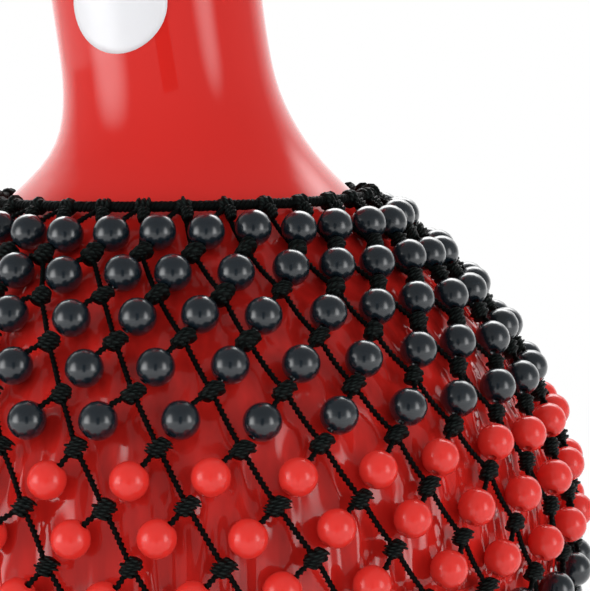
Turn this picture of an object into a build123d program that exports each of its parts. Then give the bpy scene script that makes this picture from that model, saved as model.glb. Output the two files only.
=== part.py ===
from build123d import *
import math
import os

os.makedirs("parts", exist_ok=True)

# All sizes are in millimetres. The origin is the middle of the flat foot.

# Shell
shell_wall = 3.0
foot_radius = 30.0
foot_rise_angle = 24.0
belly_radius = 117.5
belly_height = 98.0
collar_radius = 52.4
collar_height = 205.5
neck_radius = 32.8
neck_lean = 9.0
mouth_radius = 42.0
mouth_height = 308.0
rim_radius = 2.6

# Outline of the bowl, as shares of the way from foot to belly in radius and height
bowl_shares = ((0.411, 0.199), (0.777, 0.4745))

# Outline of the shoulder, as shares of the way from belly to collar
shoulder_shares = ((0.038, 0.199), (0.198, 0.4465), (0.461, 0.684), (0.802, 0.8865))

# Flare above the collar and bell of the mouth, as shares of the way from collar to mouth
flare_height_share = 84 / 205
bell_height_share = 76 / 205

# Slope of the shell at the collar, in shares of the flare's mean slope
collar_slope_share = 159 / 70

# Flare above the collar: share of its height, share of its spread, share of the lean
flare_shares = ((0.12, 0.735, -0.04), (0.33, 0.345, -0.04), (0.55, 0.142, 0.12), (0.78, 0.028, 0.31))

# Bell of the mouth: share of its height, share of its spread, share of the lean
bell_shares = ((0.0, 0.0, 0.74), (0.4, 0.13, 0.86), (0.75, 0.5, 0.95))

# Lean already reached at the narrowest place of the neck
waist_lean_share = 0.46

# Places along an outline where its inner wall is set out
inner_shares = (0.0, 0.2, 0.4, 0.6, 0.8, 1.0)

# Bonded lap inside the joint between the two halves of the shell
lap_width = 18.0
lap_thickness = 2.4
glue_gap = 0.3

# Blank round badge on the neck
badge_radius = 15.0
badge_thickness = 0.7
badge_glue = 0.1
badge_angle = -22.0
badge_height_share = 571 / 1025
badge_lean_share = 0.68

# Net
net_columns = 32
black_upper_rows = 5
red_rows = 3
black_lower_rows = 7
first_row_pitch = 11.6
row_pitch = 15.5
collar_seat_back = 6.7

# Beads
bead_radius = 5.0
bead_hole_radius = 1.2
bead_gap = 0.5

# Net cord and its knots
cord_radius = 0.75
knot_radius = 2.2
knot_half_length = 2.5
knot_standoff = 2.6
knot_below_bead = 7.2
leg_gap = 1.6
bore_overrun = 0.6
end_gap = 0.2
arc_share = 0.45

# Where the strands stand, as shares of the spacing of the columns
hitch_phase_share = 0.06
first_knot_phase_share = 0.24
strand_shift_share = 0.36
bead_phase_share = 0.28
last_bulge_share = 0.3

# Cords that close the net at the collar and under the bowl
ring_cord_radius = 1.6
hitch_half_length = 1.7
hitch_gap = 0.1
ring_gap = 0.4
base_ring_pitch = 10.5
tie_half_length = 2.4
tie_radius = 2.9

# How finely the outline is walked
walk_steps = 160


def between(start, end, share):
    """Value that lies a share of the way from start to end."""
    return start + (end - start) * share


# Neck, between the collar and the mouth
neck_height = mouth_height - collar_height
flare_height = neck_height * flare_height_share
mouth_bell_height = neck_height * bell_height_share
collar_slope = (neck_radius - collar_radius) / flare_height * collar_slope_share


# Outlines, in the plane of radius and height
foot_slope = (math.cos(math.radians(foot_rise_angle)), math.sin(math.radians(foot_rise_angle)))
collar_turn = math.hypot(collar_slope, 1)
collar_tangent = (collar_slope / collar_turn, 1 / collar_turn)
upright = (0, 1)
bowl_points = [(foot_radius, 0)]
for across, up in bowl_shares:
    bowl_points.append((between(foot_radius, belly_radius, across), belly_height * up))
bowl_points.append((belly_radius, belly_height))
shoulder_points = [(belly_radius, belly_height)]
for across, up in shoulder_shares:
    shoulder_points.append(
        (between(belly_radius, collar_radius, across), between(belly_height, collar_height, up))
    )
shoulder_points.append((collar_radius, collar_height))
bowl_line = Spline(*bowl_points, tangents=[foot_slope, upright])
shoulder_line = Spline(*shoulder_points, tangents=[upright, collar_tangent])


def inner_bowl_points(line):
    """Points one wall inside the bowl's outline, square to it."""
    points = []
    for share in inner_shares:
        place = line @ share
        along = line % share
        points.append((place.X - shell_wall * along.Y, place.Y + shell_wall * along.X))
    return points


def inner_shoulder_points(line):
    """Points one wall inside the shoulder's outline, at the same heights."""
    points = []
    for share in inner_shares:
        place = line @ share
        along = line % share
        points.append((place.X - shell_wall / along.Y, place.Y))
    return points


def turned(lines):
    """Solid of revolution about Z of the outline that the lines close."""
    face = make_face([Plane.XZ * line for line in lines])
    return revolve(face, Axis.Z, 360)


def shell_lower():
    """Bowl with its flat foot."""
    inner = inner_bowl_points(bowl_line)
    inner_line = Spline(*inner, tangents=[foot_slope, upright])
    return turned(
        [
            Line((0, 0), (foot_radius, 0)),
            bowl_line,
            Line((belly_radius, belly_height), inner[-1]),
            inner_line,
            Line(inner[0], (0, shell_wall)),
            Line((0, shell_wall), (0, 0)),
        ]
    )


def shoulder():
    """Shell from the belly up to the collar."""
    inner = inner_shoulder_points(shoulder_line)
    inner_line = Spline(*inner, tangents=[upright, collar_tangent])
    return turned(
        [
            shoulder_line,
            Line((collar_radius, collar_height), inner[-1]),
            inner_line,
            Line(inner[0], (belly_radius, belly_height)),
        ]
    )


def neck_stations():
    """Heights, radii and sideways shifts of the neck's round sections."""
    waist_height = collar_height + flare_height
    bell_height = mouth_height - rim_radius - mouth_bell_height
    waist_lean = neck_lean * waist_lean_share
    stations = [(collar_height, collar_radius, 0)]
    for up, spread, lean in flare_shares:
        stations.append(
            (
                collar_height + flare_height * up,
                between(neck_radius, collar_radius, spread),
                -neck_lean * lean,
            )
        )
    stations.append((waist_height, neck_radius, -waist_lean))
    for up, spread, lean in bell_shares:
        stations.append(
            (
                bell_height + mouth_bell_height * up,
                between(neck_radius, mouth_radius, spread),
                -neck_lean * lean,
            )
        )
    stations.append((bell_height + mouth_bell_height, mouth_radius, -neck_lean))
    return stations


def station_slopes(stations):
    """Change of radius with height at each section."""
    slopes = [collar_slope]
    for before, after in zip(stations[:-2], stations[2:]):
        slopes.append((after[1] - before[1]) / (after[0] - before[0]))
    last, end = stations[-2:]
    slopes.append((end[1] - last[1]) / (end[0] - last[0]))
    return slopes


def neck_solid(stations, grow=0.0):
    """Solid through the neck's round sections, each larger by grow."""
    sections = [
        Pos(shift, 0, height) * Circle(radius + grow) for height, radius, shift in stations
    ]
    return loft([section.faces()[0] for section in sections])


def shell_upper():
    """Shoulder, leaning neck and rolled mouth in one moulding."""
    stations = neck_stations()
    inner = [
        (height, radius - shell_wall * math.hypot(slope, 1), shift)
        for (height, radius, shift), slope in zip(stations, station_slopes(stations))
    ]
    neck = neck_solid(stations) - neck_solid(inner)
    top_height, top_radius, top_shift = stations[-1]
    rim = Pos(top_shift, 0, top_height) * Torus(top_radius - shell_wall / 2, rim_radius)
    return shoulder() + neck + rim


def seam_band():
    """Bonded lap behind the joint at the belly."""
    hollow_drop = (lap_width / 2) ** 2 / (belly_radius * 2)
    outer = belly_radius - shell_wall - glue_gap - hollow_drop
    return Pos(0, 0, belly_height) * (Cylinder(outer, lap_width) - Cylinder(outer - lap_thickness, lap_width))


def neck_badge():
    """Thin blank disc bent to the neck."""
    stations = neck_stations()
    skin = neck_solid(stations, badge_glue + badge_thickness) - neck_solid(stations, badge_glue)
    reach = collar_radius + badge_thickness + shell_wall
    punch = Rot(90, 0, 0) * Cylinder(badge_radius, reach, align=(Align.CENTER, Align.CENTER, Align.MIN))
    height = between(collar_height, mouth_height, badge_height_share)
    return Pos(-neck_lean * badge_lean_share, 0, height) * Rot(0, 0, badge_angle) * punch & skin


def walk_outline():
    """Places and outward directions along the shell, from the collar down to the foot."""
    walk = []
    for line, steps in ((shoulder_line, walk_steps), (bowl_line, walk_steps)):
        for step in range(steps + 1):
            share = 1 - step / steps
            place = line @ share
            along = line % share
            walk.append((place.X, place.Y, along.Y, -along.X))
    return walk


def net_track():
    """Distances along the beads' middles, with the shell's place and outward direction."""
    reach = bead_radius + bead_gap
    track = []
    travelled = -collar_seat_back
    last = None
    for radius, height, out, up in walk_outline():
        spot = (radius + out * reach, height + up * reach)
        if last is not None:
            travelled += math.dist(last, spot)
        track.append((travelled, radius, height, out, up))
        last = spot
    return track


track = net_track()


def net_point(distance, phase, standoff):
    """Point of the net: distance below the collar, column phase, height off the shell."""
    for before, after in zip(track[:-1], track[1:]):
        if after[0] >= distance:
            break
    share = (distance - before[0]) / max(after[0] - before[0], glue_gap / walk_steps)
    radius, height, out, up = (between(a, b, share) for a, b in zip(before[1:], after[1:]))
    angle = math.radians(phase * 360 / net_columns)
    reach = radius + out * standoff
    return Vector(reach * math.sin(angle), -reach * math.cos(angle), height + up * standoff)


# Rows of the net, counted from the collar
row_count = black_upper_rows + red_rows + black_lower_rows
hitch_radius = ring_cord_radius + hitch_gap + cord_radius * 2
ring_standoff = hitch_radius + ring_gap
knot_reach = knot_radius + knot_standoff
bead_reach = bead_radius + bead_gap
leg_reach = cord_radius + leg_gap
row_distances = [first_row_pitch + row_pitch * row for row in range(row_count)]
knot_distances = [place + knot_below_bead for place in row_distances]
knot_phases = [first_knot_phase_share + strand_shift_share * row for row in range(row_count)]
base_distance = knot_distances[-1] + base_ring_pitch
base_phase = knot_phases[-1]


def knot_centre(row, column):
    """Middle of a knot."""
    return net_point(knot_distances[row], knot_phases[row] + column, knot_reach)


def bead_centre(row, column):
    """Middle of the bead that hangs above the knot of the same row and column."""
    phase = knot_phases[row] + bead_phase_share + column
    return net_point(row_distances[row], phase, bead_reach)


def strand_axis(row, column):
    """Direction of the strand through a bead's hole and into the knot below it."""
    return (knot_centre(row, column) - bead_centre(row, column)).normalized()


def smooth_tube(points, radius, most=math.inf):
    """Round cord along straight runs joined by arcs, none starting more than most from its bend."""
    runs = [(b - a).length for a, b in zip(points[:-1], points[1:])]
    radii = []
    for index in range(1, len(points) - 1):
        before = points[index] - points[index - 1]
        after = points[index + 1] - points[index]
        half_turn = math.radians(before.get_angle(after)) / 2
        reach = min(runs[index - 1] * arc_share, runs[index] * arc_share, most)
        radii.append(reach / math.tan(half_turn))
    path = FilletPolyline(*points, radius=radii)
    start = Plane(origin=path @ 0, z_dir=path % 0)
    return sweep(start * Circle(radius), path).solids()[0]


def ring_direction(place):
    """Direction of a level ring at a place on it."""
    return Vector(-place.Y, place.X, 0).normalized()


def leg_end(middle, axis, reach, toward):
    """Start of a cord that leaves the side of a round piece toward a place."""
    direction = (toward - middle).normalized()
    turn = math.radians(direction.get_angle(axis))
    clear = (reach + end_gap) / math.sin(turn) + cord_radius / abs(math.tan(turn))
    return middle + direction * clear


def level_joint(row, column, side=0):
    """Middle, axis and outer radius of what a strand meets at the foot of a row."""
    if 0 <= row < row_count:
        return knot_centre(row, column), strand_axis(row, column), knot_radius
    if row < 0:
        middle = net_point(0, hitch_phase_share + column, ring_standoff)
    else:
        middle = net_point(base_distance, base_phase + column, ring_standoff)
    along = ring_direction(middle)
    return middle + along * (side * hitch_half_length / 2), along, hitch_radius


def winding_leg(row):
    """Plain stretch of cord that comes down to a row's knot, between two beads."""
    above, above_axis, above_reach = level_joint(row - 1, 0, 1)
    below, below_axis, below_reach = level_joint(row, 0, -1)
    if row < row_count:
        middle_phase = knot_phases[row] + bead_phase_share - 1 / 2
        waypoint = net_point(row_distances[row], middle_phase, leg_reach)
    else:
        middle_phase = base_phase + last_bulge_share
        waypoint = net_point(between(knot_distances[-1], base_distance, 1 / 2), middle_phase, knot_reach)
    start = leg_end(above, above_axis, above_reach, waypoint)
    end = leg_end(below, below_axis, below_reach, waypoint)
    return smooth_tube([start, waypoint, end], cord_radius)


def knot_exit(row, column, toward):
    """Start of the strand below a knot, clear of the knot's end however it is tilted."""
    middle = knot_centre(row, column)
    axis = strand_axis(row, column)
    foot = middle + axis * knot_half_length
    tilt = math.radians((toward - foot).get_angle(axis))
    return foot + axis * (end_gap + cord_radius * math.tan(tilt))


def beaded_leg(row):
    """Stretch of cord that comes down through a row's bead to its knot."""
    axis = strand_axis(row, 0)
    top = bead_centre(row, 0) - axis * (bead_radius + bore_overrun)
    if row == 0:
        above, above_axis, above_reach = level_joint(-1, 1, -1)
        start = leg_end(above, above_axis, above_reach, top)
    else:
        start = knot_exit(row - 1, 1, top)
    end = knot_centre(row, 0) - axis * (knot_half_length + end_gap)
    return smooth_tube([start, top, end], cord_radius, bore_overrun)


def last_beaded_leg():
    """Stretch of cord from the last knot to the cord under the bowl."""
    below, below_axis, below_reach = level_joint(row_count, 0, -1)
    start = knot_exit(row_count - 1, 0, below)
    end = leg_end(below, below_axis, below_reach, start)
    path = Line(start, end)
    return sweep(Plane(origin=start, z_dir=end - start) * Circle(cord_radius), path).solids()[0]


def barrel(radius, half_length, bore=0):
    """Wound knot along Z as a plain barrel, bored where a cord runs through it."""
    outline = [(bore, -half_length), (radius, -half_length), (radius, half_length), (bore, half_length)]
    lines = [Line(start, end) for start, end in zip(outline, outline[1:] + outline[:1])]
    return turned(lines).solids()[0]


def around(*solids):
    """The same pieces once in each column."""
    copies = []
    for column in range(net_columns):
        copies += [Rot(0, 0, column * 360 / net_columns) * solid for solid in solids]
    return Compound(children=copies)


def knot_row(row):
    """One row of wound knots."""
    place = Plane(origin=knot_centre(row, 0), z_dir=strand_axis(row, 0))
    return around(place * barrel(knot_radius, knot_half_length))


def hitch_row(distance, phase):
    """Hitches of the net's cords round a ring cord."""
    middle = net_point(distance, phase, ring_standoff)
    place = Plane(origin=middle, z_dir=ring_direction(middle))
    return around(place * barrel(hitch_radius, hitch_half_length, ring_cord_radius + hitch_gap))


def bead_row(row):
    """One row of round beads, bored along their strands."""
    place = Plane(origin=bead_centre(row, 0), z_dir=strand_axis(row, 0))
    bead = place * (Sphere(bead_radius) - Cylinder(bead_hole_radius, bead_radius * 2 + bore_overrun))
    return around(bead.solids()[0])


def ring_cord(distance, phase):
    """Closed cord round the shell, joined by a wound tie between two hitches."""
    middle = net_point(distance, phase + net_columns / 2 + 1 / 2, ring_standoff)
    cord = Pos(0, 0, middle.Z) * Torus(math.hypot(middle.X, middle.Y), ring_cord_radius)
    tie = Plane(origin=middle, z_dir=ring_direction(middle)) * Cylinder(tie_radius, tie_half_length * 2)
    return cord + tie


# Pieces
export_step(shell_lower(), "parts/shell_lower.step")
export_step(shell_upper(), "parts/shell_upper.step")
export_step(seam_band(), "parts/seam_band.step")
export_step(neck_badge(), "parts/neck_badge.step")
export_step(ring_cord(0, hitch_phase_share), "parts/collar_cord.step")
export_step(hitch_row(0, hitch_phase_share), "parts/collar_hitches.step")
export_step(ring_cord(base_distance, base_phase), "parts/base_cord.step")
export_step(hitch_row(base_distance, base_phase), "parts/base_hitches.step")
for row in range(row_count):
    export_step(bead_row(row), f"parts/bead_row_{row + 1:02d}.step")
    export_step(knot_row(row), f"parts/knot_row_{row + 1:02d}.step")
    export_step(around(beaded_leg(row), winding_leg(row)), f"parts/cord_row_{row + 1:02d}.step")
export_step(around(last_beaded_leg(), winding_leg(row_count)), f"parts/cord_row_{row_count + 1:02d}.step")
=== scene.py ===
import logging
import math
import random
from dataclasses import dataclass, field
from enum import Enum
from functools import cache

import bmesh
import bpy
from mathutils import Matrix, Vector


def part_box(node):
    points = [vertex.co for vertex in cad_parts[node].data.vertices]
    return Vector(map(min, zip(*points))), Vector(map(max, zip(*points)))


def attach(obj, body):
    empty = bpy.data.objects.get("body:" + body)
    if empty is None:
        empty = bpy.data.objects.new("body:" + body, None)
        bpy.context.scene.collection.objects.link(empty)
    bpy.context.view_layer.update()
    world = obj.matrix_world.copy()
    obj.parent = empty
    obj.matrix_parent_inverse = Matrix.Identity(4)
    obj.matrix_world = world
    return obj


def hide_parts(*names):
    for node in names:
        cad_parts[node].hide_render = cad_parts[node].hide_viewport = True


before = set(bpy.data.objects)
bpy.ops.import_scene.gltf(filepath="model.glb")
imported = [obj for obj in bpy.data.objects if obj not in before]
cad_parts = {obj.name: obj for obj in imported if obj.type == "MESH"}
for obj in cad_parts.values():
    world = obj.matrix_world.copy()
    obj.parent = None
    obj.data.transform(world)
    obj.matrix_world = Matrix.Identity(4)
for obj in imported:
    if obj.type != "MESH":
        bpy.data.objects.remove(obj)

log = logging.getLogger("shekere")

MM = 0.001
FIBRES = 9.0
SURFACE_NUMBERS = (
    "Patch Scale", "Patch Depth", "Grain Scale", "Grain Detail", "Roughness", "Roughness Spread",
)
PATCH_DETAIL = 3.0
PATCH_BREAKUP = 0.55
GRAIN_BREAKUP = 0.6
QUARTER_TURN = 0.25
WELD = 0.01 * MM
# Painted shade and painted glints of wound cord: its colour is multiplied down in the grooves between the
# wraps and up on their ridges.
GROOVE_PAINTED_SHADE = 0.3
RIDGE_PAINTED_GLINT = 4.5
CALM_SPAN = 0.01
CALM_SHARE = 0.015
SKIN_DEPTH = (0.002, 0.0006, 0.0004)
Colour = tuple[float, float, float]
Span = tuple[float, float]
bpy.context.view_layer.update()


class Body(Enum):
    """The two bodies that the pieces ride on."""

    SHELL = "shell"
    NET = "net"


class Slot(Enum):
    """The record's material slots."""

    RED_SHELL = "red_shell"
    LAMINATE = "laminate"
    WHITE_BADGE = "white_badge"
    BLACK_CORD = "black_cord"
    BLACK_BEAD = "black_bead"
    RED_BEAD = "red_bead"


class Nodes:
    """Small helper that adds and joins the nodes of one tree."""

    def __init__(self, tree: bpy.types.NodeTree) -> None:
        """Starts from an empty tree.

        Args:
            tree: The node tree to fill.
        """
        self.tree = tree
        tree.nodes.clear()

    def add(self, kind: str, **settings: object) -> bpy.types.Node:
        """Adds a node and sets its properties and inputs.

        Args:
            kind: The node's type name.
            settings: Properties of the node, or values of its inputs by name.

        Returns:
            The new node.
        """
        node = self.tree.nodes.new(kind)
        for name, value in settings.items():
            label = name.replace("_", " ")
            if hasattr(node, name):
                setattr(node, name, value)
            elif label in node.inputs:
                node.inputs[label].default_value = value
        return node

    def join(self, source: bpy.types.NodeSocket, target: bpy.types.NodeSocket) -> None:
        """Links an output to an input."""
        self.tree.links.new(source, target)

    def math(self, operation: str, *values: float | bpy.types.NodeSocket) -> bpy.types.NodeSocket:
        """Adds a math node.

        Args:
            operation: What it works out.
            values: Its inputs, each a number or another node's output.

        Returns:
            Its output.
        """
        node = self.add("ShaderNodeMath", operation=operation)
        for socket, value in zip(node.inputs, values):
            if isinstance(value, bpy.types.NodeSocket):
                self.join(value, socket)
            else:
                socket.default_value = value
        return node.outputs[0]

    def ranged(
        self, source: bpy.types.NodeSocket, given: Span, wanted: Span, smooth: bool = False
    ) -> bpy.types.NodeSocket:
        """Maps one range of values to another.

        Args:
            source: The output to map.
            given: Its range.
            wanted: The range that it becomes.
            smooth: Whether the ends are eased.

        Returns:
            The mapped output.
        """
        node = self.add("ShaderNodeMapRange", interpolation_type="SMOOTHSTEP" if smooth else "LINEAR")
        for end, name in enumerate(("Min", "Max")):
            node.inputs["From " + name].default_value = given[end]
            node.inputs["To " + name].default_value = wanted[end]
        self.join(source, node.inputs["Value"])
        return node.outputs[0]

    def faded(self, reach: Span, values: Span) -> bpy.types.NodeSocket:
        """Eases from one value to another with the distance from the object's own middle."""
        spot = self.add("ShaderNodeTexCoord")
        length = self.add("ShaderNodeVectorMath", operation="LENGTH")
        self.join(spot.outputs["Object"], length.inputs[0])
        return self.ranged(length.outputs["Value"], reach, values, smooth=True)


def socket(group: bpy.types.NodeTree, name: str, direction: str, kind: str = "Float") -> None:
    """Gives a shader group one more input or output."""
    group.interface.new_socket(name, in_out=direction, socket_type="NodeSocket" + kind)


@cache
def surface_group() -> bpy.types.NodeTree:
    """Shader group for the uneven colour, gloss and relief that every finish has.

    Returns:
        The group, made on the first call.
    """
    group = bpy.data.node_groups.new("uneven_surface", "ShaderNodeTree")
    socket(group, "Vector", "INPUT", "Vector")
    socket(group, "Stretch", "INPUT", "Vector")
    socket(group, "Color", "INPUT", "Color")
    for name in ("Painted Light Level", *SURFACE_NUMBERS):
        socket(group, name, "INPUT")
    socket(group, "Color", "OUTPUT", "Color")
    socket(group, "Roughness", "OUTPUT")
    socket(group, "Height", "OUTPUT")
    nodes = Nodes(group)
    given = nodes.add("NodeGroupInput")
    made = nodes.add("NodeGroupOutput")
    patch = nodes.add("ShaderNodeTexNoise", Detail=PATCH_DETAIL, Roughness=PATCH_BREAKUP)
    grain = nodes.add("ShaderNodeTexNoise", Roughness=GRAIN_BREAKUP)
    nodes.join(given.outputs["Grain Detail"], grain.inputs["Detail"])
    nodes.join(given.outputs["Patch Scale"], patch.inputs["Scale"])
    stretched = nodes.add("ShaderNodeVectorMath", operation="MULTIPLY")
    nodes.join(given.outputs["Vector"], stretched.inputs[0])
    nodes.join(given.outputs["Stretch"], stretched.inputs[1])
    nodes.join(stretched.outputs[0], grain.inputs["Vector"])
    nodes.join(stretched.outputs[0], patch.inputs["Vector"])
    nodes.join(given.outputs["Grain Scale"], grain.inputs["Scale"])
    centred = nodes.math("SUBTRACT", patch.outputs["Fac"], 0.5)
    # The level input carries painted light: at 1 the colour keeps its tone, above 1 it is painted lighter.
    value = nodes.math("MULTIPLY_ADD", centred, given.outputs["Patch Depth"], given.outputs["Painted Light Level"])
    tint = nodes.add("ShaderNodeHueSaturation")
    nodes.join(value, tint.inputs["Value"])
    nodes.join(given.outputs["Color"], tint.inputs["Color"])
    spread, smoothest = given.outputs["Roughness Spread"], given.outputs["Roughness"]
    gloss = nodes.math("MULTIPLY_ADD", grain.outputs["Fac"], spread, smoothest)
    nodes.join(tint.outputs["Color"], made.inputs["Color"])
    nodes.join(gloss, made.inputs["Roughness"])
    nodes.join(grain.outputs["Fac"], made.inputs["Height"])
    return group


@cache
def wraps_group() -> bpy.types.NodeTree:
    """Shader group for the turns and fibres of wound cord, read from the "turns" map.

    Returns:
        The group, made on the first call.
    """
    group = bpy.data.node_groups.new("wound_wraps", "ShaderNodeTree")
    for direction in ("INPUT", "OUTPUT"):
        socket(group, "Color", direction, "Color")
        socket(group, "Height", direction)
    nodes = Nodes(group)
    given = nodes.add("NodeGroupInput")
    made = nodes.add("NodeGroupOutput")
    turns = nodes.add("ShaderNodeUVMap", uv_map="turns")
    waves = []
    for across, along in ((0.0, math.tau), (FIBRES * math.tau, math.tau)):
        phase = nodes.add("ShaderNodeVectorMath", operation="DOT_PRODUCT")
        nodes.join(turns.outputs[0], phase.inputs[0])
        phase.inputs[1].default_value = (across, along, 0.0)
        wave = nodes.math("COSINE", phase.outputs["Value"])
        waves.append(nodes.ranged(wave, (1.0, -1.0), (0.0, 1.0)))
    ridge = nodes.math("MULTIPLY", *waves)
    # Painted shade in the grooves and painted glints on the ridges of the wraps, multiplied into the colour.
    dark = nodes.add("ShaderNodeMix", data_type="RGBA", blend_type="MULTIPLY")
    dark.inputs[0].default_value = 1.0
    nodes.join(given.outputs["Color"], dark.inputs[6])
    nodes.join(nodes.ranged(ridge, (0.0, 1.0), (GROOVE_PAINTED_SHADE, RIDGE_PAINTED_GLINT)), dark.inputs[7])
    nodes.join(dark.outputs[2], made.inputs["Color"])
    nodes.join(nodes.math("ADD", given.outputs["Height"], ridge), made.inputs["Height"])
    return group


@dataclass(frozen=True)
class Finish:
    """A finish with its own colour, gloss and relief.

    Lengths are in metres, and scales are waves in a metre. A wound finish shows cord wraps, with painted
    shade in their grooves and painted glints on their ridges, streaks draw out the gloss along Z, and above
    calm_above the relief and patches fade and the colour is painted a little lighter, painted light for the
    neck lying clear of the net's shade.
    """

    slot: Slot
    colour: Colour
    roughness: float
    roughness_spread: float = 0.05
    patch_scale: float = 60.0
    patch_depth: float = 0.1
    grain_scale: float = 900.0
    relief: float = 0.00002
    coat: float = 0.0
    coat_roughness: float = 0.03
    subsurface: float = 0.0
    ior: float = 1.5
    grain_detail: float = 4.0
    stretch: tuple[float, float, float] = (1.0, 1.0, 1.0)
    wound: bool = False
    streaks: float = 0.0
    calm_above: float = 0.0
    calm_painted_light: float = 0.0
    label: str = ""

    @cache
    def material(self) -> bpy.types.Material:
        """Builds the material once and gives it again after that.

        Returns:
            The Blender material.
        """
        material = bpy.data.materials.new((self.label or self.slot.value) + "_finish")
        material.use_nodes = True
        nodes = Nodes(material.node_tree)
        place = nodes.add("ShaderNodeTexCoord")
        surface = nodes.add("ShaderNodeGroup", node_tree=surface_group())
        nodes.join(place.outputs["Object"], surface.inputs["Vector"])
        surface.inputs["Stretch"].default_value = self.stretch
        surface.inputs["Color"].default_value = (*self.colour, 1.0)
        surface.inputs["Painted Light Level"].default_value = 1.0
        for number in SURFACE_NUMBERS:
            surface.inputs[number].default_value = getattr(self, number.lower().replace(" ", "_"))
        bump = nodes.add("ShaderNodeBump", Distance=self.relief, Strength=1.0)
        colour, height = surface.outputs["Color"], surface.outputs["Height"]
        if self.wound:
            wraps = nodes.add("ShaderNodeGroup", node_tree=wraps_group())
            nodes.join(colour, wraps.inputs["Color"])
            nodes.join(height, wraps.inputs["Height"])
            colour, height = wraps.outputs["Color"], wraps.outputs["Height"]
        if self.calm_above:
            spot = nodes.add("ShaderNodeSeparateXYZ")
            nodes.join(place.outputs["Object"], spot.inputs[0])
            heights = (self.calm_above, self.calm_above + CALM_SPAN)
            calm = nodes.ranged(spot.outputs["Z"], heights, (1.0, CALM_SHARE), smooth=True)
            nodes.join(calm, bump.inputs["Strength"])
            nodes.join(nodes.math("MULTIPLY", calm, self.patch_depth), surface.inputs["Patch Depth"])
            # Painted light: above the calm height the colour is made a little lighter, standing in for the
            # neck lying clear of the net's shade.
            lift = nodes.math("MULTIPLY_ADD", calm, -self.calm_painted_light, 1.0 + self.calm_painted_light)
            nodes.join(lift, surface.inputs["Painted Light Level"])
        nodes.join(height, bump.inputs["Height"])
        shader = nodes.add(
            "ShaderNodeBsdfPrincipled",
            IOR=self.ior,
            Coat_Weight=self.coat,
            Coat_Roughness=self.coat_roughness,
            Subsurface_Weight=self.subsurface,
            Subsurface_Radius=SKIN_DEPTH,
            Subsurface_Scale=1.0,
        )
        nodes.join(colour, shader.inputs["Base Color"])
        nodes.join(surface.outputs["Roughness"], shader.inputs["Roughness"])
        nodes.join(bump.outputs["Normal"], shader.inputs["Normal"])
        if self.streaks:
            round_axis = nodes.add("ShaderNodeTangent", direction_type="RADIAL", axis="Z")
            nodes.join(round_axis.outputs[0], shader.inputs["Tangent"])
            shader.inputs["Anisotropic"].default_value = self.streaks
            shader.inputs["Anisotropic Rotation"].default_value = QUARTER_TURN
        out = nodes.add("ShaderNodeOutputMaterial")
        nodes.join(shader.outputs["BSDF"], out.inputs["Surface"])
        return material


# The gel coat's neck above the net is painted a little lighter: painted light for its lying clear of the
# net's shade.
GEL_COAT = Finish(
    Slot.RED_SHELL, (0.64, 0.020, 0.015), 0.06, 0.05, 110.0, 1.4, 165.0, 0.0034,
    grain_detail=0.0, stretch=(1.0, 1.0, 0.05), streaks=0.6, calm_above=0.19, calm_painted_light=0.11,
)
LAMINATE = Finish(Slot.LAMINATE, (0.42, 0.30, 0.16), 0.45, 0.2, 90.0, 0.5, 700.0, 0.0004)
BADGE = Finish(Slot.WHITE_BADGE, (0.86, 0.87, 0.9), 0.2, 0.05, 60.0, 0.03)
CORD = Finish(Slot.BLACK_CORD, (0.0030, 0.0040, 0.0038), 0.38, 0.2, 400.0, 0.6, 2200.0, 0.0003, ior=1.16)
BLACK_BEAD = Finish(
    Slot.BLACK_BEAD, (0.006, 0.012, 0.018), 0.17, 0.05, 90.0, 0.3, 700.0, 0.000006,
    coat=0.8, coat_roughness=0.26,
)
# Wound cord carries painted shade in the grooves of its wraps and painted glints on their ridges.
WOUND_CORD = Finish(
    Slot.BLACK_CORD, (0.0035, 0.0055, 0.0050), 0.35, 0.2, 400.0, 0.6, 2200.0, 0.0002,
    ior=1.2, wound=True, label="wound",
)
RED_BEAD = Finish(
    Slot.RED_BEAD, (0.82, 0.036, 0.027), 0.18, 0.05, 90.0, 0.1, 700.0, 0.000006, subsurface=0.1
)


def linked(name: str, data: bpy.types.ID) -> bpy.types.Object:
    """Puts a new object with the given data into the scene."""
    made = bpy.data.objects.new(name, data)
    bpy.context.scene.collection.objects.link(made)
    return made


def shown(name: str, mesh: bpy.types.Mesh, body: Body, finish: Finish, *stands_for: str) -> bpy.types.Object:
    """Puts a finished mesh into the scene as a piece.

    Args:
        name: The piece's name.
        mesh: Its mesh, in place.
        body: The body that it rides on.
        finish: Its finish.
        stands_for: The frame's nodes that it stands for.

    Returns:
        The new object.
    """
    for polygon in mesh.polygons:
        polygon.use_smooth = True
    if not mesh.materials:
        mesh.materials.append(finish.material())
    piece = linked(name, mesh)
    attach(piece, body.value)
    if stands_for:
        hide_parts(*stands_for)
    log.info("%s: %d faces", name, len(mesh.polygons))
    return piece


def as_mesh(name: str, form: bmesh.types.BMesh) -> bpy.types.Mesh:
    """Turns a bmesh into a mesh and frees it."""
    bmesh.ops.recalc_face_normals(form, faces=form.faces)
    mesh = bpy.data.meshes.new(name)
    form.to_mesh(mesh)
    form.free()
    return mesh


def curve_mesh(curve: bpy.types.Curve) -> bpy.types.Mesh:
    """Turns a curve into a plain mesh of the same name."""
    holder = linked(curve.name, curve)
    seen = holder.evaluated_get(bpy.context.evaluated_depsgraph_get())
    mesh = bpy.data.meshes.new_from_object(seen)
    mesh.name = curve.name
    mesh.materials.clear()
    bpy.data.objects.remove(holder)
    return mesh


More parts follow.
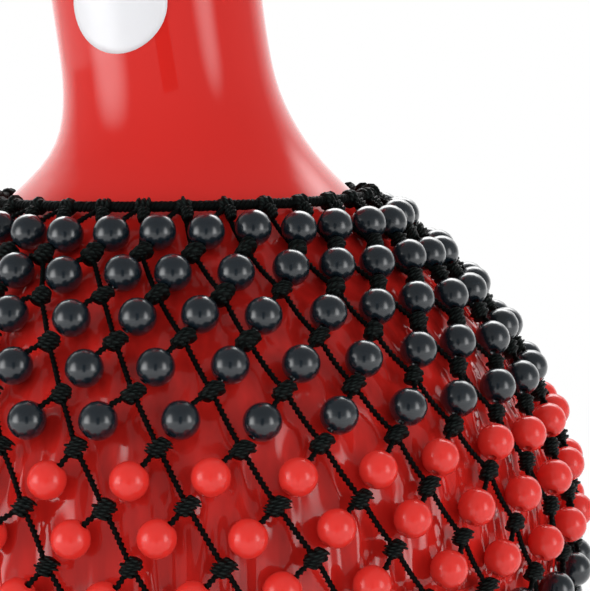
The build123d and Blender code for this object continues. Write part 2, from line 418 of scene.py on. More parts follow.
def extruded(form: bmesh.types.BMesh, edges: list[bmesh.types.BMEdge]) -> tuple[list, list]:
    """Extrudes edges.

    Args:
        form: The form that they belong to.
        edges: The edges.

    Returns:
        The new vertices and the new edges.
    """
    made = bmesh.ops.extrude_edge_only(form, edges=edges)["geom"]
    verts = [item for item in made if isinstance(item, bmesh.types.BMVert)]
    return verts, [item for item in made if isinstance(item, bmesh.types.BMEdge)]


def placed_copies(name: str, templates: list[bpy.types.Mesh], places: list[Matrix]) -> bpy.types.Mesh:
    """Joins copies of one or more forms in turn, each at its own place.

    Args:
        name: The mesh's name.
        templates: The forms, about the origin.
        places: Where each copy goes.

    Returns:
        The joined mesh.
    """
    form = bmesh.new()
    for index, place in enumerate(places):
        before = len(form.verts)
        form.from_mesh(templates[index % len(templates)])
        form.verts.ensure_lookup_table()
        bmesh.ops.transform(form, matrix=place, verts=form.verts[before:])
    mesh = bpy.data.meshes.new(name)
    form.to_mesh(mesh)
    form.free()
    return mesh


def piece_centres(node: str) -> list[Vector]:
    """Middles of the separate pieces of one frame node.

    Args:
        node: The node's name.

    Returns:
        One point for each piece.
    """
    form = bmesh.new()
    form.from_mesh(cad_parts[node].data)
    bmesh.ops.remove_doubles(form, verts=form.verts, dist=WELD)
    unseen = set(form.verts)
    centres = []
    while unseen:
        island = [unseen.pop()]
        for vertex in island:
            for edge in vertex.link_edges:
                other = edge.other_vert(vertex)
                if other in unseen:
                    unseen.remove(other)
                    island.append(other)
        low = Vector(map(min, *(vertex.co for vertex in island)))
        high = Vector(map(max, *(vertex.co for vertex in island)))
        centres.append((low + high) / 2)
    form.free()
    return centres


@dataclass
class Ring:
    """One row of the net's pieces: its radius, height and the phase of its first column."""

    radius: float
    height: float
    phase: float

    def point(self, column: int, columns: int) -> Vector:
        """Point of the ring at a column."""
        angle = (self.phase + column) * math.tau / columns
        return Vector((self.radius * math.sin(angle), -self.radius * math.cos(angle), self.height))


@dataclass
class Net:
    """The knotted net with its beads, laid out from the frame's rows."""

    rows: int = 15
    columns: int = 32
    first_knot_phase: float = 0.24
    strand_shift: float = 0.36
    bead_phase: float = 0.28
    hitch_phase: float = 0.06
    red_rows: range = range(5, 8)
    bead_radius: float = 5.3 * MM
    bead_hole_radius: float = 1.1 * MM
    bead_lip_share: float = 0.985
    bead_bore_share: float = 0.5
    bead_segments: int = 20
    bead_rings: int = 12
    bead_pole_share: float = 0.25
    cord_radius: float = 0.92 * MM
    cord_valley_radius: float = 0.52 * MM
    cord_sides: int = 6
    cord_lay: float = 4.4 * MM
    lay_steps: int = 9
    leg_lift: float = -0.8 * MM
    leg_bend_share: float = 0.7
    last_leg_spread: float = 2.0 * MM
    knot_radius: float = 2.6 * MM
    knot_half_length: float = 2.9 * MM
    knot_wraps: int = 5
    knot_segments: int = 10
    knot_turn: float = 0.6
    knot_widths: Span = (0.92, 1.1)
    knot_lengths: Span = (0.9, 1.08)
    end_share: float = 0.7
    barrel_share: float = 0.5
    end_slant_share: float = 0.4
    wrap_depth: float = 0.75 * MM
    wrap_spread: float = 0.1
    wrap_wander: float = 0.35 * MM
    knot_slants: tuple[float, ...] = (0.45, 0.7, 0.3, 0.6, 0.5)
    wrap_shares: tuple[tuple[float, float], ...] = ((0.0, 1.0), (0.3, 0.0), (0.7, 0.0))
    ring_strand_radius: float = 0.85 * MM
    ring_helix_radius: float = 0.85 * MM
    ring_lay: float = 4.2 * MM
    ring_strands: int = 3
    ring_steps: int = 8
    hitch_radius: float = 2.75 * MM
    hitch_half_length: float = 2.3 * MM
    hitch_wraps: int = 3
    hitch_slant: float = 0.15
    hitch_turn: float = 0.7
    stub_radius: float = 1.9 * MM
    stub_half_length: float = 2.3 * MM
    stub_drop: float = 4.0 * MM
    stub_wraps: int = 4
    stub_slant: float = 0.35
    stub_lift_share: float = 0.35
    stub_turn: float = 0.8
    slack: float = 0.55 * MM
    slack_limit: float = 2.0
    bead_slack_share: float = 0.5
    seed: int = 11
    knots: list[Ring] = field(default_factory=list)
    beads: list[Ring] = field(default_factory=list)
    collar: Ring = field(init=False)
    base: Ring = field(init=False)
    normals: list[Span] = field(default_factory=list)
    knot_places: dict[tuple[int, int], Vector] = field(default_factory=dict)
    bead_places: dict[tuple[int, int], Vector] = field(default_factory=dict)

    def ring_of(self, node: str, phase: float) -> Ring:
        """Measures one row of the frame.

        Args:
            node: The row's node.
            phase: About where its first piece stands, in columns.

        Returns:
            The row's ring.
        """
        centres = piece_centres(node)
        radius = sum(math.hypot(c.x, c.y) for c in centres) / len(centres)
        height = sum(c.z for c in centres) / len(centres)
        return Ring(radius, height, phase)

    def survey(self) -> None:
        """Reads the places of the knots, beads and ring cords from the frame."""
        for row in range(self.rows):
            phase = self.first_knot_phase + self.strand_shift * row
            self.knots.append(self.ring_of(f"knot_row_{row + 1:02d}", phase))
            self.beads.append(self.ring_of(f"bead_row_{row + 1:02d}", phase + self.bead_phase))
        self.collar = self.ring_of("collar_hitches", self.hitch_phase)
        self.base = self.ring_of("base_hitches", self.knots[-1].phase)
        rings = [self.collar, *self.beads, self.base]
        for before, after in zip(rings[:-2], rings[2:]):
            along = Vector((after.radius - before.radius, after.height - before.height)).normalized()
            self.normals.append((-along.y, along.x))

    def scatter(self) -> None:
        """Moves each knot and bead a little, as on a net tied by hand."""
        chance = random.Random(self.seed)
        for row in range(self.rows):
            knot, bead = self.knots[row], self.beads[row]
            out, up = self.normals[row]
            for column in range(self.columns):
                angle = (knot.phase + column) * math.tau / self.columns
                across = Vector((math.cos(angle), math.sin(angle), 0))
                outward = Vector((out * math.sin(angle), -out * math.cos(angle), up))
                down = across.cross(outward).normalized()
                shift = across * self.spread(chance) + down * self.spread(chance)
                turn = across * self.spread(chance) * self.bead_slack_share
                self.knot_places[row, column] = knot.point(column, self.columns) + shift
                self.bead_places[row, column] = bead.point(column, self.columns) + shift + turn

    def spread(self, chance: random.Random) -> float:
        """One hand-made error, held within the limit."""
        return max(-self.slack_limit, min(self.slack_limit, chance.gauss(0, 1))) * self.slack

    def outward(self, row: int, place: Vector) -> Vector:
        """Direction away from the shell at a place in a row."""
        out, up = self.normals[max(0, min(row, self.rows - 1))]
        flat = Vector((place.x, place.y, 0)).normalized()
        return (flat * out + Vector((0, 0, up))).normalized()

    def knot_place(self, row: int, column: int) -> Vector:
        """Middle of a knot, or of a hitch above the first row and below the last."""
        column = column % self.columns
        if row < 0:
            return self.collar.point(column, self.columns)
        if row >= self.rows:
            return self.base.point(column, self.columns)
        return self.knot_places[row, column]

    def bead_mesh(self) -> bpy.types.Mesh:
        """Round bead about the origin, its hole along Z."""
        form = bmesh.new()
        bmesh.ops.create_uvsphere(
            form, u_segments=self.bead_segments, v_segments=self.bead_rings, radius=self.bead_radius
        )
        pole = self.bead_hole_radius * self.bead_pole_share
        poles = [v for v in form.verts if math.hypot(v.co.x, v.co.y) < pole]
        bmesh.ops.delete(form, geom=poles, context="VERTS")
        for side in (-1, 1):
            mouth = [e for e in form.edges if e.is_boundary and e.verts[0].co.z * side > 0]
            corners = list({v for e in mouth for v in e.verts})
            width = math.hypot(corners[0].co.x, corners[0].co.y)
            lip, rim = extruded(form, mouth)
            narrow = self.bead_hole_radius / width
            bmesh.ops.scale(form, vec=(narrow, narrow, self.bead_lip_share), verts=lip)
            bore, _ = extruded(form, rim)
            bmesh.ops.translate(form, vec=(0, 0, -side * self.bead_radius * self.bead_bore_share), verts=bore)
        return as_mesh("bead_form", form)

    def wound_mesh(
        self, name: str, radius: float, half_length: float, wraps: int, slant: float
    ) -> bpy.types.Mesh:
        """Barrel of uneven cord wraps along Z.

        Args:
            name: The mesh's name, which also sets how its wraps differ.
            radius: Radius over the wraps.
            half_length: Half its length.
            wraps: How many turns of cord it shows.
            slant: How far the wraps lean, as a share of the radius.

        Returns:
            The mesh.
        """
        form = bmesh.new()
        end_radius = (radius - self.wrap_depth) * self.end_share
        bmesh.ops.create_circle(form, segments=self.knot_segments, radius=end_radius, cap_ends=True)
        bmesh.ops.translate(form, vec=(0, 0, -half_length), verts=form.verts)
        rim = [e for e in form.edges if len(e.link_faces) == 1]
        width, height = end_radius, -half_length
        chance = random.Random(name)
        sizes = [chance.uniform(1 - self.wrap_spread, 1 + self.wrap_spread) for _ in range(wraps + 1)]
        shifts = [chance.uniform(0, math.tau) for _ in range(wraps + 1)]
        loops = []
        levels = [(wrap + share, depth) for wrap in range(wraps) for share, depth in self.wrap_shares]
        for turn, depth in levels[1:] + [(wraps, 1.0)]:
            verts, rim = extruded(form, rim)
            level = turn / wraps * 2 - 1
            barrel = math.sqrt(1 - self.barrel_share * level * level)
            wanted = (radius * sizes[int(turn)] - self.wrap_depth * depth) * barrel
            wanted = end_radius if turn == wraps else wanted
            loops.append((verts, shifts[int(turn)] if depth < 1 else None))
            bmesh.ops.scale(form, vec=(wanted / width, wanted / width, 1), verts=verts)
            bmesh.ops.translate(form, vec=(0, 0, half_length * level - height), verts=verts)
            width, height = wanted, half_length * level
        bmesh.ops.edgeloop_fill(form, edges=rim)
        for verts, way in loops:
            if way is not None:
                aside = (self.wrap_wander * math.cos(way), self.wrap_wander * math.sin(way), 0)
                bmesh.ops.translate(form, vec=aside, verts=verts)
        turns = form.loops.layers.uv.new("turns")
        for face in form.faces:
            middle = face.calc_center_median()
            start = math.atan2(middle.y, middle.x)
            for loop in face.loops:
                angle = math.atan2(loop.vert.co.y, loop.vert.co.x) - start
                angle = start + (angle + math.pi) % math.tau - math.pi
                loop[turns].uv = (angle / math.tau, (loop.vert.co.z / half_length + 1) / 2 * wraps)
        for vertex in form.verts:
            inside = 1 - abs(vertex.co.z) / half_length
            vertex.co.z += vertex.co.x * slant * (self.end_slant_share + (1 - self.end_slant_share) * inside)
        return as_mesh(name, form)

    def standing(self, middle: Vector, axis: Vector, outward: Vector, turn: float = 0.0) -> Matrix:
        """Matrix that puts a form at a place with its Z along an axis."""
        side = axis.cross(outward).normalized()
        front = side.cross(axis)
        spin = Matrix((side, front, axis)).transposed().to_4x4()
        return Matrix.Translation(middle) @ spin @ Matrix.Rotation(turn, 4, "Z")

    def twisted(self, name: str, routes: list[list[Vector]]) -> bpy.types.Mesh:
        """Twisted cords along short routes.

        Args:
            name: The mesh's name.
            routes: The points that each cord follows.

        Returns:
            One mesh with all of them.
        """
        section = bpy.data.curves.new("cord_section", "CURVE")
        section.dimensions = "3D"
        ring = section.splines.new("POLY")
        ring.points.add(self.cord_sides - 1)
        for index, point in enumerate(ring.points):
            reach = self.cord_valley_radius if index % 2 else self.cord_radius
            angle = index * math.tau / self.cord_sides
            point.co = (reach * math.cos(angle), reach * math.sin(angle), 0, 1)
        ring.use_cyclic_u = True
        section_object = linked("cord_section", section)
        curve = bpy.data.curves.new(name, "CURVE")
        curve.dimensions = "3D"
        curve.bevel_mode = "OBJECT"
        curve.bevel_object = section_object
        for route in routes:
            spline = curve.splines.new("NURBS")
            spline.points.add(len(route) - 1)
            travelled = 0.0
            for index, place in enumerate(route):
                if index:
                    travelled += (place - route[index - 1]).length
                spline.points[index].co = (*place, 1)
                spline.points[index].tilt = travelled / self.cord_lay * math.tau
            spline.order_u = 3
            spline.use_endpoint_u = True
            steps = travelled / self.cord_lay * self.lay_steps
            spline.resolution_u = max(2, round(steps / (len(route) - 1)))
        mesh = curve_mesh(curve)
        bpy.data.objects.remove(section_object)
        return mesh

    def legs(self, row: int) -> list[list[Vector]]:
        """Routes of the cords that come down to one row's knots."""
        routes = []
        for column in range(self.columns):
            for beaded in (False, True):
                start = self.knot_place(row - 1, column + (1 if beaded and row < self.rows else 0))
                end = self.knot_place(row, column)
                if beaded and row < self.rows:
                    bead = self.bead_places[row, column]
                    axis = (end - bead).normalized()
                    top = bead - axis * self.bead_radius
                    routes.append([start, top - axis * self.cord_radius, top, bead])
                    continue
                side = start.lerp(end, 0.5)
                lift = self.outward(row, side) * self.leg_lift
                if row == self.rows:
                    apart = self.last_leg_spread if beaded else -self.last_leg_spread
                    side = side + Vector((0, 0, 1)).cross(self.outward(row, side)) * apart
                bends = start.lerp(side, self.leg_bend_share), side.lerp(end, 1 - self.leg_bend_share)
                routes.append([start, bends[0] + lift, bends[1] + lift, end])
        return routes

    def ring_cord(self, name: str, ring: Ring, node: str) -> None:
        """Three-strand cord round the shell.

        Args:
            name: The piece's name.
            ring: Where it runs.
            node: The frame's node that it stands for.
        """
        turns = round(math.tau * ring.radius / self.ring_lay)
        steps = turns * self.ring_steps
        curve = bpy.data.curves.new(name, "CURVE")
        curve.dimensions = "3D"
        curve.bevel_depth = self.ring_strand_radius
        curve.bevel_resolution = 1
        for strand in range(self.ring_strands):
            spline = curve.splines.new("POLY")
            spline.points.add(steps - 1)
            for step, point in enumerate(spline.points):
                around = step / steps * math.tau
                lay = step / steps * math.tau * turns + strand * math.tau / self.ring_strands
                radius = ring.radius + self.ring_helix_radius * math.cos(lay)
                height = ring.height + self.ring_helix_radius * math.sin(lay)
                point.co = (radius * math.sin(around), -radius * math.cos(around), height, 1)
            spline.use_cyclic_u = True
        shown(name, curve_mesh(curve), Body.NET, CORD, node)

    def hitches(self, name: str, ring: Ring, node: str) -> None:
        """Hitches of the net's cords round a ring cord."""
        form = self.wound_mesh(
            "hitch_form", self.hitch_radius, self.hitch_half_length, self.hitch_wraps, self.hitch_slant
        )
        places = []
        for column in range(self.columns):
            middle = ring.point(column, self.columns)
            flat = Vector((middle.x, middle.y, 0)).normalized()
            along = Vector((-flat.y, flat.x, 0))
            places.append(self.standing(middle, along, flat, column * self.hitch_turn))
        shown(name, placed_copies(name, [form], places), Body.NET, WOUND_CORD, node)

    def stubs(self) -> None:
        """Wound stub under each hitch of the collar, where its two cords are bound."""
        form = self.wound_mesh(
            "stub_form", self.stub_radius, self.stub_half_length, self.stub_wraps, self.stub_slant
        )
        chance = random.Random(self.seed + 2)
        places = []
        for column in range(self.columns):
            top = self.knot_place(-1, column)
            way = (self.knot_place(0, column) - top).normalized()
            out = self.outward(0, top)
            middle = top + way * self.stub_drop + out * (self.stub_radius * self.stub_lift_share)
            turn = chance.uniform(-self.stub_turn, self.stub_turn)
            places.append(self.standing(middle, way, out, turn))
        shown("collar_stubs", placed_copies("collar_stubs", [form], places), Body.NET, WOUND_CORD)

    def build(self) -> None:
        """Builds every row of the net."""
        self.survey()
        self.scatter()
        chance = random.Random(self.seed + 1)
        bead_form = self.bead_mesh()
        knot_forms = []
        for index, slant in enumerate(self.knot_slants):
            name = f"knot_form_{index + 1}"
            sizes = self.knot_radius, self.knot_half_length, self.knot_wraps
            knot_forms.append(self.wound_mesh(name, *sizes, slant))
        for row in range(self.rows):
            number = f"{row + 1:02d}"
            bead_matrices = []
            knot_matrices = []
            for column in range(self.columns):
                knot = self.knot_places[row, column]
                bead = self.bead_places[row, column]
                axis = (knot - bead).normalized()
                outward = self.outward(row, bead)
                bead_matrices.append(self.standing(bead, axis, outward))
                turn = chance.uniform(-self.knot_turn, self.knot_turn)
                place = self.standing(knot, axis, outward, turn)
                width = chance.uniform(*self.knot_widths)
                size = Matrix.Diagonal((width, 1.0, chance.uniform(*self.knot_lengths), 1.0))
                knot_matrices.append(place @ size)
            finish = RED_BEAD if row in self.red_rows else BLACK_BEAD
            beads = placed_copies("beads_" + number, [bead_form], bead_matrices)
            shown("beads_" + number, beads, Body.NET, finish, "bead_row_" + number)
            knots = placed_copies("knots_" + number, knot_forms, knot_matrices)
            shown("knots_" + number, knots, Body.NET, WOUND_CORD, "knot_row_" + number)
        for row in range(self.rows + 1):
            name = f"cords_{row + 1:02d}"
            shown(name, self.twisted(name, self.legs(row)), Body.NET, CORD, f"cord_row_{row + 1:02d}")
        self.ring_cord("collar_rope", self.collar, "collar_cord")
        self.hitches("collar_loops", self.collar, "collar_hitches")
        self.stubs()
        self.ring_cord("base_rope", self.base, "base_cord")
        self.hitches("base_loops", self.base, "base_hitches")


@dataclass
class Shell:
    """The moulded shell, measured from the frame and turned as smooth surfaces."""

    segments: int = 96
    bowl_stations: int = 9
    shoulder_stations: int = 9
    neck_stations: int = 13
    rim_radius: float = 2.6 * MM
    rim_stations: int = 10
    badge_segments: int = 48
    badge_rings: int = 8
    badge_lift: float = 0.35 * MM
    badge_skirt_share: float = 0.05
    badge_edge: float = 1.001
    badge_reach: float = 100.0 * MM
    joint_height: float = 98.0 * MM
    joint_reach: float = 0.05 * MM
    hair: float = 0.01 * MM
    weld: float = 0.001 * MM
    collar_share: float = 0.52
    lean_start: float = 10.0 * MM
    rim_drop: float = 1.0 * MM
    rim_start: float = -0.28 * math.pi
    rim_sweep: float = 1.56 * math.pi
    gauge_start: float = -6.0 * MM
    foot_radii: tuple[float, ...] = (0.0, 12.0 * MM, 27.0 * MM)
    bowl_radii: tuple[float, ...] = (31.0 * MM, 45.0 * MM, 60.0 * MM, 75.0 * MM, 90.0 * MM)
    probe_height: float = 50.0 * MM
    probe_clear: float = 10.0 * MM
    inner_step: Span = (1.0 * MM, 4.0 * MM)
    lean: list[Span] = field(default_factory=list)

    def gauge(self, node: str, height: float) -> tuple[float, float, float]:
        """Measures a level section of a frame node.

        Args:
            node: The node to measure.
            height: Height of the section.

        Returns:
            Its outer radius, inner radius and sideways shift.
        """
        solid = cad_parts[node]
        hits = []
        for side in (-1, 1):
            far = solid.ray_cast(Vector((side, 0, height)), Vector((-side, 0, 0)))
            near = solid.ray_cast(Vector((self.gauge_start, 0, height)), Vector((side, 0, 0)))
            hits.append((far[1].x, near[1].x))
        outer = (hits[1][0] - hits[0][0]) / 2
        inner = (hits[1][1] - hits[0][1]) / 2
        return outer, inner, (hits[1][0] + hits[0][0]) / 2

    def turned(self, name: str, outline: list[Span], lean: list[Span]) -> bpy.types.Mesh:
        """Turns an outline about Z and leans it.

        Args:
            name: The mesh's name.
            outline: Closed outline as radius and height.
            lean: Sideways shift against height.

        Returns:
            The mesh.
        """
        form = bmesh.new()
        verts = [form.verts.new((0, -radius, height)) for radius, height in outline]
        edges = [form.edges.new((a, b)) for a, b in zip(verts, verts[1:] + verts[:1])]
        bmesh.ops.spin(
            form, geom=verts + edges, cent=(0, 0, 0), axis=(0, 0, 1), angle=math.tau,
            steps=self.segments, use_merge=True,
        )
        bmesh.ops.remove_doubles(form, verts=form.verts, dist=self.weld)
        crease = form.edges.layers.float.new("crease_edge")
        for edge in form.edges:
            if all(abs(vertex.co.z - self.joint_height) < self.joint_reach for vertex in edge.verts):
                edge[crease] = 1.0
        for vertex in form.verts:
            vertex.co.x += self.lean_at(lean, vertex.co.z)
        return as_mesh(name, form)

    def lean_at(self, lean: list[Span], height: float) -> float:
        """Sideways shift at a height, between the measured ones."""
        for (low, first), (high, second) in zip(lean[:-1], lean[1:]):
            if height <= high:
                share = max(0.0, (height - low) / (high - low))
                return first + (second - first) * share
        return lean[-1][1] if lean else 0.0

    def smoothed(self, name: str, mesh: bpy.types.Mesh, node: str) -> None:
        """Shows one half as a smooth surface."""
        piece = shown(name, mesh, Body.SHELL, GEL_COAT, node)
        smooth = piece.modifiers.new("smooth", "SUBSURF")
        smooth.levels = 1
        smooth.render_levels = 1

    def build_upper(self) -> None:
        """Shoulder, neck and rolled mouth."""
        low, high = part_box("shell_upper")
        top = high[2] - self.rim_radius
        belly = low[2]
        collar = belly + (top - belly) * self.collar_share
        shoulder = (collar - belly) / self.shoulder_stations
        neck = (top - self.rim_drop - collar) / self.neck_stations
        heights = [belly + self.hair + shoulder * station for station in range(self.shoulder_stations)]
        heights += [collar + neck * station for station in range(self.neck_stations + 1)]
        sections = [(h, *self.gauge("shell_upper", h)) for h in heights]
        outline = [(outer, h) for h, outer, _, _ in sections]
        lean = [(h, shift if h > collar - self.lean_start else 0.0) for h, _, _, shift in sections]
        middle = (sections[-1][1] + sections[-1][2]) / 2
        for step in range(1, self.rim_stations):
            angle = self.rim_start + self.rim_sweep * step / self.rim_stations
            across, up = self.rim_radius * math.cos(angle), self.rim_radius * math.sin(angle)
            outline.append((middle + across, top + up))
        outline += [(inner, h) for h, _, inner, _ in reversed(sections)]
        lean.append((high[2], lean[-1][1]))
        self.lean = lean
        self.smoothed("shell_top", self.turned("shell_top", outline, lean), "shell_upper")

    def build_lower(self) -> None:
        """Bowl with its flat foot."""
        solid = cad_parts["shell_lower"]
        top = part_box("shell_lower")[1][2]
        wall = solid.ray_cast(Vector((0, 0, self.probe_height)), Vector((0, 0, -1)))[1].z
        outer_points = [(radius, 0.0) for radius in self.foot_radii]
        inner_points = [(radius, wall) for radius in self.foot_radii]
        for radius in self.bowl_radii:
            up = solid.ray_cast(Vector((0, -radius, -self.probe_clear)), Vector((0, 0, 1)))[1]
            outer_points.append((radius, up.z))
            down = solid.ray_cast(Vector((0, -radius, top + self.probe_clear)), Vector((0, 0, -1)))[1]
            inner_points.append((radius, down.z))
        start = outer_points[-1][1]
        for step in range(1, self.bowl_stations + 1):
            height = start + (top - self.hair - start) * step / self.bowl_stations
            outer, inner, _ = self.gauge("shell_lower", height)
            outer_points.append((outer, height))
            last, step_out = inner_points[-1], self.inner_step
            if inner > last[0] + step_out[0] or height > last[1] + step_out[1]:
                inner_points.append((inner, height))
        outline = outer_points + inner_points[::-1]
        self.smoothed("shell_bowl", self.turned("shell_bowl", outline, []), "shell_lower")

    def build_badge(self) -> None:
        """Thin round badge that lies on the new neck."""
        low, high = (Vector(corner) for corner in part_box("neck_badge"))
        middle = (low + high) / 2
        radius = (high.z - low.z) / 2
        neck = bpy.data.objects["shell_top"].evaluated_get(bpy.context.evaluated_depsgraph_get())
        axis = Vector((self.lean_at(self.lean, middle.z), 0, middle.z))
        out = Vector((middle.x - axis.x, middle.y, 0)).normalized()
        side = Vector((0, 0, 1)).cross(out)
        form = bmesh.new()
        inmost = radius / self.badge_rings
        bmesh.ops.create_circle(form, segments=self.badge_segments, radius=inmost, cap_ends=True)
        rim = [edge for edge in form.edges if edge.is_boundary]
        bmesh.ops.poke(form, faces=form.faces)
        for ring in range(2, self.badge_rings + 2):
            verts, rim = extruded(form, rim)
            grown = min(ring, self.badge_rings + self.badge_skirt_share) / min(ring - 1, self.badge_rings)
            bmesh.ops.scale(form, vec=(grown, grown, 1), verts=verts)
        for vertex in form.verts:
            reach = vertex.co.to_2d().length / radius
            flat = axis + side * vertex.co.x + Vector((0, 0, vertex.co.y))
            hit = neck.ray_cast(flat + out * self.badge_reach, -out)
            vertex.co = hit[1] + hit[2] * (self.badge_lift if reach < self.badge_edge else -self.badge_lift)
        shown("round_badge", as_mesh("round_badge", form), Body.SHELL, BADGE, "neck_badge")

    def build(self) -> None:
        """Builds both halves and the badge, and dresses the band."""
        self.joint_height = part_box("shell_upper")[0][2]
        self.build_upper()
        self.build_lower()
        self.build_badge()
        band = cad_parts["seam_band"].data
        band.materials.clear()
        band.materials.append(LAMINATE.material())
        log.info("seam_band: dressed")


@dataclass(frozen=True)
class Softbox:
    """A soft lamp panel of the set.

    The azimuth is its place round the object, in degrees from the front to the right, and the rise
    is its middle's height above the object's. The glow is its brightness there, where 1 is white.
    """

    name: str
    azimuth: float
    rise: float
    width: float
    height: float
    glow: float


def sheet(name: str, half_width: float = 0.5) -> tuple[bpy.types.Object, Nodes, bpy.types.NodeSocket]:
    """Square sheet of the set about the origin, with an empty material.

    Args:
        name: The name of the sheet and its material.
        half_width: Half its width in metres, where it isn't one metre wide.

    Returns:
        The sheet, its material's nodes and the socket that its shader goes to.
    """
    form = bmesh.new()
    bmesh.ops.create_grid(form, x_segments=1, y_segments=1, size=half_width)
    mesh = as_mesh(name, form)
    material = bpy.data.materials.new(name)
    material.use_nodes = True
    nodes = Nodes(material.node_tree)
    out = nodes.add("ShaderNodeOutputMaterial")
    mesh.materials.append(material)
    piece = linked(name, mesh)
    return piece, nodes, out.inputs["Surface"]


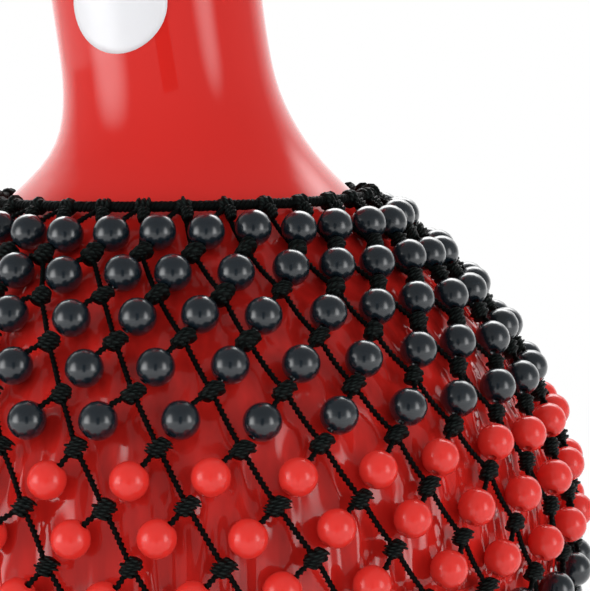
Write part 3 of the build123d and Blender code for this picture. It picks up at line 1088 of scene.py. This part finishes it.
@dataclass
class Studio:
    """Camera, floor and soft lights."""

    image_width: int = 590
    focal_pixels: float = 1979.0
    sensor: float = 36.0
    clip_end: float = 50.0
    distance: float = 0.6292
    rise: float = 7.91
    aim_height: float = 0.146
    yaw: float = -3.22
    pitch: float = -2.31
    roll: float = -1.31
    card_size: Span = (0.2, 0.5)
    card_clear: float = 0.12
    card_colour: Colour = (0.01, 0.01, 0.01)
    lamp_distance: float = 1.3
    lamp_fade: Span = (0.5, 0.1)
    lamps: tuple[Softbox, ...] = (
        Softbox("left_panel", -65.0, 0.0, 1.3, 2.0, 3.6),
        Softbox("right_panel", 50.0, 0.0, 0.8, 1.8, 3.6),
        Softbox("back_panel", 172.0, 1.2, 3.0, 1.2, 5.0),
    )
    floor_half_width: float = 6.0
    floor_drop: float = 0.2 * MM
    floor_colour: Colour = (0.9, 0.9, 0.9)
    floor_roughness: float = 0.9
    floor_blend: Span = (0.2, 0.5)
    world_diffuse: float = 0.66
    world_front: float = 0.38
    world_top: float = 0.22
    world_back: float = 1.3
    world_depth_span: Span = (0.3, 0.8)
    world_height_span: Span = (0.05, 0.75)

    def camera(self) -> None:
        """Places the camera where the photograph was taken."""
        rise = math.radians(self.rise)
        place = Vector((0, -math.cos(rise), math.sin(rise))) * self.distance
        forward = -place.normalized()
        right = Vector((1, 0, 0))
        down = forward.cross(right)
        base = Matrix((right, down, forward))
        turn = (
            Matrix.Rotation(math.radians(self.roll), 3, "Z")
            @ Matrix.Rotation(math.radians(self.pitch), 3, "X")
            @ Matrix.Rotation(math.radians(self.yaw), 3, "Y")
        )
        axes = turn @ base
        lens = bpy.data.cameras.new("photo_camera")
        lens.sensor_fit = "HORIZONTAL"
        lens.sensor_width = self.sensor
        lens.lens = self.focal_pixels * self.sensor / self.image_width
        lens.clip_end = self.clip_end
        camera = linked("photo_camera", lens)
        spin = Matrix((axes[0], -axes[1], -axes[2])).transposed().to_4x4()
        camera.matrix_world = Matrix.Translation(place + Vector((0, 0, self.aim_height))) @ spin
        bpy.context.scene.camera = camera

    def softbox(self, lamp: Softbox) -> None:
        """Lamp panel, bright in its middle and fading to its edges."""
        turn = math.radians(lamp.azimuth)
        place = Vector((math.sin(turn), -math.cos(turn), 0)) * self.lamp_distance
        place.z = self.aim_height + lamp.rise
        panel, nodes, surface = sheet(lamp.name)
        light = nodes.add("ShaderNodeEmission")
        nodes.join(nodes.faded(self.lamp_fade, (0.0, lamp.glow)), light.inputs["Strength"])
        clear = nodes.add("ShaderNodeBsdfTransparent")
        both = nodes.add("ShaderNodeAddShader")
        nodes.join(light.outputs[0], both.inputs[0])
        nodes.join(clear.outputs[0], both.inputs[1])
        nodes.join(both.outputs[0], surface)
        spin = (Vector((0, 0, self.aim_height)) - place).to_track_quat("-Z", "Y").to_matrix().to_4x4()
        size = Matrix.Diagonal((lamp.width, lamp.height, 1.0, 1.0))
        panel.matrix_world = Matrix.Translation(place) @ spin @ size
        panel.visible_camera = False

    def card(self) -> None:
        """Dark card behind the camera, seen only in the gloss."""
        card, nodes, surface = sheet("camera_card")
        shader = nodes.add("ShaderNodeBsdfDiffuse", Color=(*self.card_colour, 1.0))
        nodes.join(shader.outputs[0], surface)
        place = bpy.context.scene.camera.matrix_world @ Matrix.Translation((0, 0, self.card_clear))
        card.matrix_world = place @ Matrix.Diagonal((*self.card_size, 1.0, 1.0))
        card.visible_camera = card.visible_diffuse = card.visible_shadow = False

    def world(self) -> None:
        """White surroundings, a little darker in front where the gloss mirrors the room."""
        world = bpy.data.worlds.new("studio")
        bpy.context.scene.world = world
        world.use_nodes = True
        nodes = Nodes(world.node_tree)
        path = nodes.add("ShaderNodeLightPath")
        place = nodes.add("ShaderNodeTexCoord")
        parts = nodes.add("ShaderNodeSeparateXYZ")
        nodes.join(place.outputs["Generated"], parts.inputs[0])
        depth = nodes.ranged(parts.outputs["Y"], self.world_depth_span, (0.0, self.world_back))
        height = nodes.ranged(parts.outputs["Z"], self.world_height_span, (self.world_front, self.world_top))
        room = nodes.math("MAXIMUM", depth, height)
        pick_glossy = nodes.add("ShaderNodeMix", data_type="FLOAT")
        pick_glossy.inputs[2].default_value = self.world_diffuse
        nodes.join(path.outputs["Is Glossy Ray"], pick_glossy.inputs[0])
        nodes.join(room, pick_glossy.inputs[3])
        pick_camera = nodes.add("ShaderNodeMix", data_type="FLOAT")
        pick_camera.inputs[3].default_value = 1.0
        nodes.join(path.outputs["Is Camera Ray"], pick_camera.inputs[0])
        nodes.join(pick_glossy.outputs[0], pick_camera.inputs[2])
        light = nodes.add("ShaderNodeBackground", Color=(1.0, 1.0, 1.0, 1.0))
        nodes.join(pick_camera.outputs[0], light.inputs["Strength"])
        out = nodes.add("ShaderNodeOutputWorld")
        nodes.join(light.outputs[0], out.inputs["Surface"])

    def floor(self) -> None:
        """Pale floor that the shekere stands on, plain white to the camera away from its shadow."""
        plane, nodes, surface = sheet("floor", self.floor_half_width)
        shader = nodes.add("ShaderNodeBsdfPrincipled", Roughness=self.floor_roughness)
        shader.inputs["Base Color"].default_value = (*self.floor_colour, 1.0)
        path = nodes.add("ShaderNodeLightPath")
        seen = nodes.math("MAXIMUM", path.outputs["Is Camera Ray"], path.outputs["Is Glossy Ray"])
        fade = nodes.faded(self.floor_blend, (0.0, 1.0))
        white = nodes.add("ShaderNodeEmission", Color=(1.0, 1.0, 1.0, 1.0))
        mix = nodes.add("ShaderNodeMixShader")
        nodes.join(nodes.math("MULTIPLY", seen, fade), mix.inputs[0])
        nodes.join(shader.outputs[0], mix.inputs[1])
        nodes.join(white.outputs[0], mix.inputs[2])
        nodes.join(mix.outputs[0], surface)
        plane.location.z = -self.floor_drop

    def build(self) -> None:
        """Builds the whole set."""
        bpy.context.scene.view_settings.view_transform = "Standard"
        self.camera()
        self.card()
        self.world()
        self.floor()
        for lamp in self.lamps:
            self.softbox(lamp)


def main() -> None:
    """Builds the shekere and its set, and notes the sizes."""
    logging.basicConfig(level=logging.INFO, format="%(name)s %(message)s")
    Shell().build()
    Net().build()
    Studio().build()


if __name__ == "__main__":
    main()
